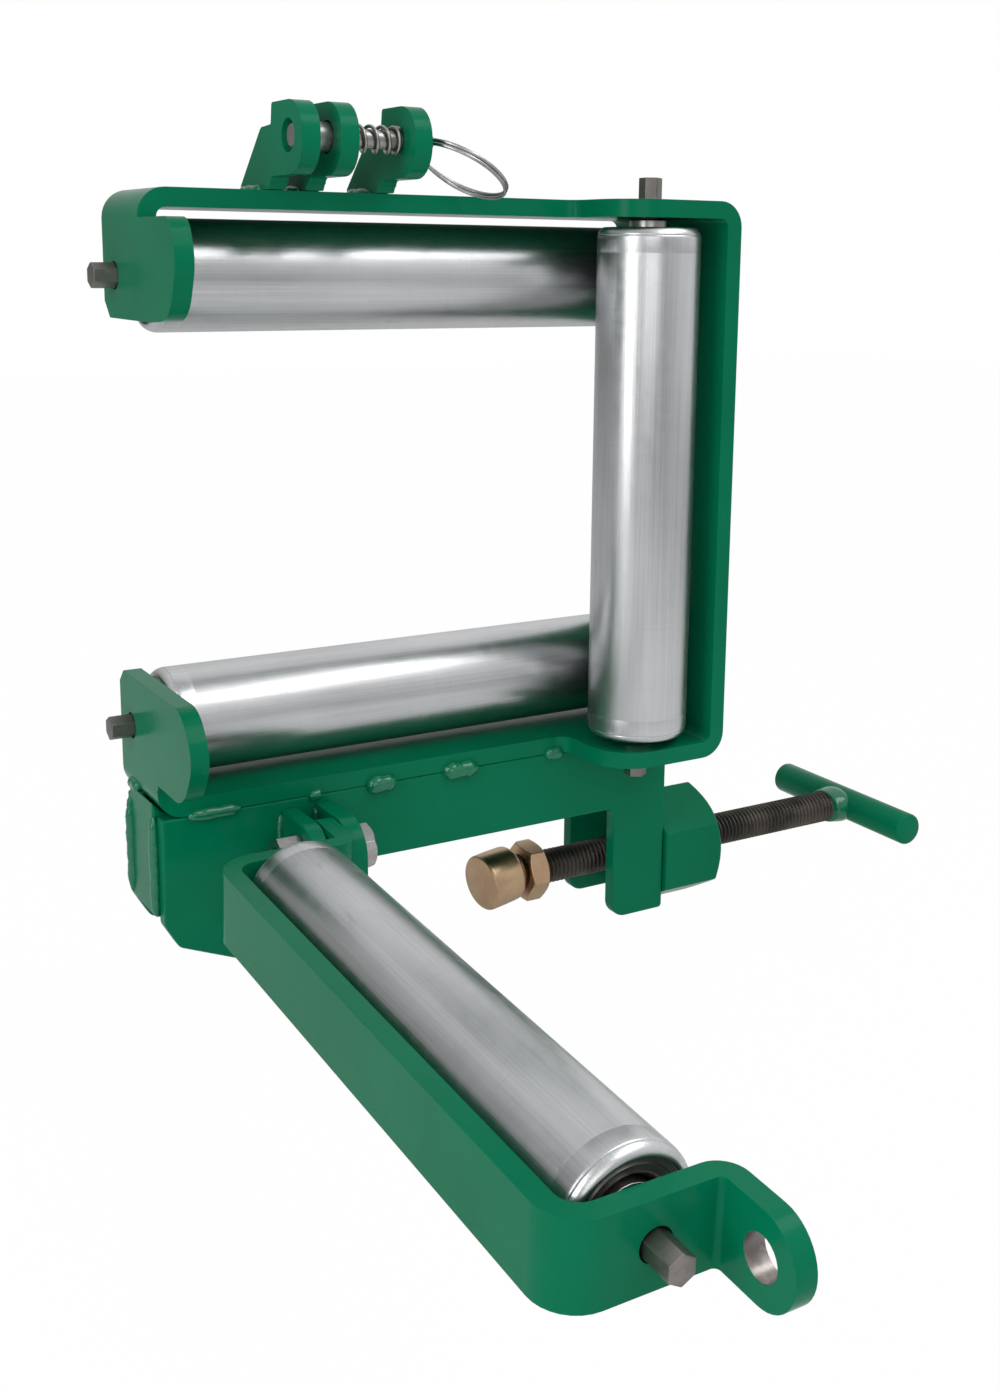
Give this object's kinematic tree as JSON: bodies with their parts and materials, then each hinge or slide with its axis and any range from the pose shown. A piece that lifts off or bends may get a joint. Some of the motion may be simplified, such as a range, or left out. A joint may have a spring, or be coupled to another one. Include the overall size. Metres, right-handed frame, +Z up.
{
  "type": "four-roller cable guide",
  "caption": "Bent-bar cable guide: a square window of rollers, one on a hinged gate with a spring latch pin, over a C-clamp foot with a T-handle screw.",
  "frame": {"origin": "centre of the fixed jaw's face, on the clamp screw's axis", "axes": "+X along the level rollers and out of the fixed jaw towards the clamp screw, -Y towards the open gate, +Z up"},
  "size_m": [0.437, 0.4216, 0.4034],
  "materials": {
    "green_paint": "glossy green enamel",
    "galvanised_tube": "galvanised",
    "bearing_steel": "dull pressed steel",
    "axle_steel": "plain drawn steel",
    "yellow_zinc": "yellow zinc plate",
    "black_oxide": "black oxide, oiled",
    "bright_zinc": "bright zinc plate",
    "spring_steel": "bright spring wire"
  },
  "bodies": {
    "frame": {"main_strap": "green_paint", "clamp_plate_front": "green_paint", "clamp_plate_rear": "green_paint", "jaw_end_cap": "green_paint", "jaw_face": "green_paint", "screw_boss": "green_paint", "hinge_lug_left": "green_paint", "hinge_lug_right": "green_paint", "latch_ear_1": "green_paint", "latch_ear_2": "green_paint", "latch_ear_3": "green_paint", "hinge_bolt": "bright_zinc", "hinge_nut": "bright_zinc", "lower_roller_hub_a": "bearing_steel", "lower_roller_hub_b": "bearing_steel", "lower_roller_axle": "axle_steel", "upper_roller_hub_a": "bearing_steel", "upper_roller_hub_b": "bearing_steel", "upper_roller_axle": "axle_steel", "upright_roller_hub_a": "bearing_steel", "upright_roller_hub_b": "bearing_steel", "upright_roller_axle": "axle_steel"},
    "gate": {"gate_strap": "green_paint", "gate_roller_hub_a": "bearing_steel", "gate_roller_hub_b": "bearing_steel", "gate_roller_axle": "axle_steel"},
    "lower_roller": {"lower_roller_tube": "galvanised_tube", "lower_roller_cup_a": "bearing_steel", "lower_roller_cup_b": "bearing_steel"},
    "upper_roller": {"upper_roller_tube": "galvanised_tube", "upper_roller_cup_a": "bearing_steel", "upper_roller_cup_b": "bearing_steel"},
    "upright_roller": {"upright_roller_tube": "galvanised_tube", "upright_roller_cup_a": "bearing_steel", "upright_roller_cup_b": "bearing_steel"},
    "gate_roller": {"gate_roller_tube": "galvanised_tube", "gate_roller_cup_a": "bearing_steel", "gate_roller_cup_b": "bearing_steel"},
    "latch": {"latch_pin": "bright_zinc", "latch_spring": "spring_steel"},
    "ring": {"pull_ring": "bright_zinc"},
    "pad": {"clamp_pad": "yellow_zinc"},
    "screw": {"clamp_screw": "black_oxide", "jam_nut": "yellow_zinc", "t_handle": "green_paint"}
  },
  "joints": [
    {"name": "gate_hinge", "type": "hinge", "parent": "frame", "child": "gate", "pos_m": [0.02477, -0.0462, 0.0502], "axis": [-1, 0, 0], "range_deg": [0, 93]},
    {"name": "gate_roller_spin", "type": "hinge", "parent": "gate", "child": "gate_roller", "pos_m": [-0.002, -0.20004, 0.04214], "axis": [0, -0.9986, -0.0523], "continuous": true},
    {"name": "lower_roller_spin", "type": "hinge", "parent": "frame", "child": "lower_roller", "pos_m": [0.09257, 0.00915, 0.10474], "axis": [1, 0, 0], "continuous": true},
    {"name": "upper_roller_spin", "type": "hinge", "parent": "frame", "child": "upper_roller", "pos_m": [0.09257, 0.00915, 0.30164], "axis": [1, 0, 0], "continuous": true},
    {"name": "upright_roller_spin", "type": "hinge", "parent": "frame", "child": "upright_roller", "pos_m": [0.1915, -0.0462, 0.20384], "axis": [0, 0, 1], "continuous": true},
    {"name": "latch_pull", "type": "slide", "parent": "frame", "child": "latch", "axis": [1, 0, 0], "range_m": [0, 0.0156], "stiffness_N_per_m": 400, "springref_m": -0.012, "deforming": ["latch_spring"]},
    {"name": "ring_swing", "type": "hinge", "parent": "latch", "child": "ring", "pos_m": [0.07334, -0.0462, 0.35828], "axis": [0, 1, 0], "range_deg": [-115, 5]},
    {"name": "pad_travel", "type": "slide", "parent": "frame", "child": "pad", "axis": [-1, 0, 0], "range_m": [-0.0229, 0.094]},
    {"name": "screw_turn", "type": "hinge", "parent": "pad", "child": "screw", "pos_m": [0.1297, 0, 0], "axis": [-1, 0, 0], "range_deg": [-3240, 13320]}
  ],
  "couplings": [
    {"joint": "pad_travel", "follows": "screw_turn", "m_per_rad": 0.00040425}
  ]
}
